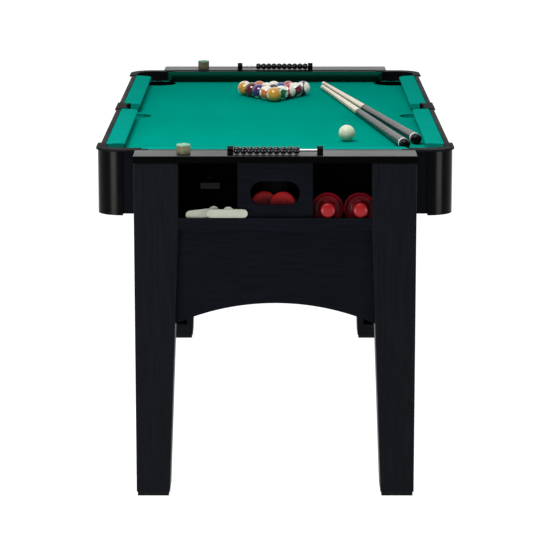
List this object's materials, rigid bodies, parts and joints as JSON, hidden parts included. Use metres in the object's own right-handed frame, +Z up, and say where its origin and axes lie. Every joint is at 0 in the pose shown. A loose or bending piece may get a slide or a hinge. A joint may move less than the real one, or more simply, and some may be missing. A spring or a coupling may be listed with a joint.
{
  "type": "flip-top games table",
  "caption": "Games table whose cabinet turns over between two arched end frames: six-pocket pool field on one face, slide-hockey field on the other, storage bays and bead scorers at the ends.",
  "frame": {"origin": "on the floor, under the middle of the table", "axes": "+Z up, +Y along the table from the end nearest the viewer to the far end, +X to the viewer's right"},
  "size_m": [0.795, 1.7, 0.784],
  "materials": {
    "black_laminate": "matt black laminate on board, faint grain",
    "black_moulding": "satin black moulding",
    "grey_moulding": "dark grey satin moulding",
    "green_cloth": "teal-green napped playing cloth",
    "plain_board": "fibreboard stained black",
    "pocket_liner": "soft black liner",
    "zinc_steel": "zinc plated",
    "black_steel": "satin black finish",
    "black_bead": "gloss black",
    "white_slick_board": "slick white sliding face",
    "black_bumper": "black extruded rail",
    "ball_resin": "polished resin, several plain colours",
    "ivory_resin": "polished ivory-coloured resin",
    "cue_maple": "lacquered pale maple with a dark butt",
    "chalk_block": "pressed chalk in a paper wrap",
    "red_plastic": "red moulded plastic",
    "white_plastic": "white moulded plastic"
  },
  "bodies": {
    "end_frames": {"leg_near_left": "black_laminate", "leg_near_right": "black_laminate", "leg_far_left": "black_laminate", "leg_far_right": "black_laminate", "top_board_near": "black_laminate", "top_board_far": "black_laminate", "back_panel_near": "black_laminate", "back_panel_far": "black_laminate", "centre_panel_near": "black_laminate", "centre_panel_far": "black_laminate", "storage_shelf_near": "black_laminate", "storage_shelf_far": "black_laminate", "arched_apron_near": "black_laminate", "arched_apron_far": "black_laminate", "middle_bay_boards": "black_laminate", "foot_caps": "black_moulding", "scorer_brackets": "black_moulding", "lock_guides": "black_moulding", "scorer_rods": "zinc_steel", "leg_screws": "black_steel", "pivot_bushes": "black_steel", "pucks": "red_plastic"},
    "cabinet": {"cabinet_side_left": "black_laminate", "cabinet_side_right": "black_laminate", "cabinet_end_near": "black_laminate", "cabinet_end_far": "black_laminate", "pool_cloth": "green_cloth", "playfield_board": "plain_board", "pocket_cups": "pocket_liner", "pivot_pins": "black_steel", "hockey_field": "white_slick_board", "hockey_bumpers": "black_bumper", "side_pocket_left": "grey_moulding", "side_pocket_right": "grey_moulding", "cushion_near": "green_cloth", "cushion_far": "green_cloth", "corner_casing_near_left": "black_moulding", "corner_casing_near_right": "black_moulding", "corner_casing_far_left": "black_moulding", "corner_casing_far_right": "black_moulding", "corner_pocket_near_left": "grey_moulding", "corner_pocket_near_right": "grey_moulding", "corner_pocket_far_left": "grey_moulding", "corner_pocket_far_right": "grey_moulding", "cushion_left_near": "green_cloth", "cushion_left_far": "green_cloth", "cushion_right_near": "green_cloth", "cushion_right_far": "green_cloth"},
    "lock_near": {"lock_bolt_near": "black_steel"},
    "lock_far": {"lock_bolt_far": "black_steel"},
    "beads_near": {"scorer_beads_near": "black_bead"},
    "beads_far": {"scorer_beads_far": "black_bead"},
    "balls": {"object_balls": "ball_resin"},
    "cue_ball_body": {"cue_ball": "ivory_resin"},
    "left_cue": {"cue_left": "cue_maple"},
    "right_cue": {"cue_right": "cue_maple"},
    "chalk": {"chalk_cubes": "chalk_block"},
    "left_striker": {"striker_left": "red_plastic"},
    "right_striker": {"striker_right": "red_plastic"},
    "net_set": {"net_posts": "white_plastic"}
  },
  "joints": [
    {"name": "cabinet_flip", "type": "hinge", "parent": "end_frames", "child": "cabinet", "pos_m": [0, 0, 0.692], "axis": [0, 1, 0], "continuous": true},
    {"name": "lock_near_slide", "type": "slide", "parent": "end_frames", "child": "lock_near", "axis": [0, 1, 0], "range_m": [0, 0.014]},
    {"name": "lock_far_slide", "type": "slide", "parent": "end_frames", "child": "lock_far", "axis": [0, -1, 0], "range_m": [0, 0.014]},
    {"name": "beads_near_slide", "type": "slide", "parent": "end_frames", "child": "beads_near", "axis": [1, 0, 0], "range_m": [0, 0.036]},
    {"name": "beads_far_slide", "type": "slide", "parent": "end_frames", "child": "beads_far", "axis": [-1, 0, 0], "range_m": [0, 0.036]},
    {"name": "balls_lift", "type": "slide", "parent": "cabinet", "child": "balls", "axis": [0, 0, 1], "range_m": [0, 0.08]},
    {"name": "cue_ball_lift", "type": "slide", "parent": "cabinet", "child": "cue_ball_body", "axis": [0, 0, 1], "range_m": [0, 0.08]},
    {"name": "left_cue_lift", "type": "slide", "parent": "cabinet", "child": "left_cue", "axis": [0, 0, 1], "range_m": [0, 0.08]},
    {"name": "right_cue_lift", "type": "slide", "parent": "cabinet", "child": "right_cue", "axis": [0, 0, 1], "range_m": [0, 0.08]},
    {"name": "chalk_lift", "type": "slide", "parent": "end_frames", "child": "chalk", "axis": [0, 0, 1], "range_m": [0, 0.04]},
    {"name": "left_striker_lift", "type": "slide", "parent": "end_frames", "child": "left_striker", "axis": [0, 0, 1], "range_m": [0, 0.065]},
    {"name": "right_striker_lift", "type": "slide", "parent": "end_frames", "child": "right_striker", "axis": [0, 0, 1], "range_m": [0, 0.065]},
    {"name": "net_set_lift", "type": "slide", "parent": "end_frames", "child": "net_set", "axis": [0, 0, 1], "range_m": [0, 0.06]}
  ]
}
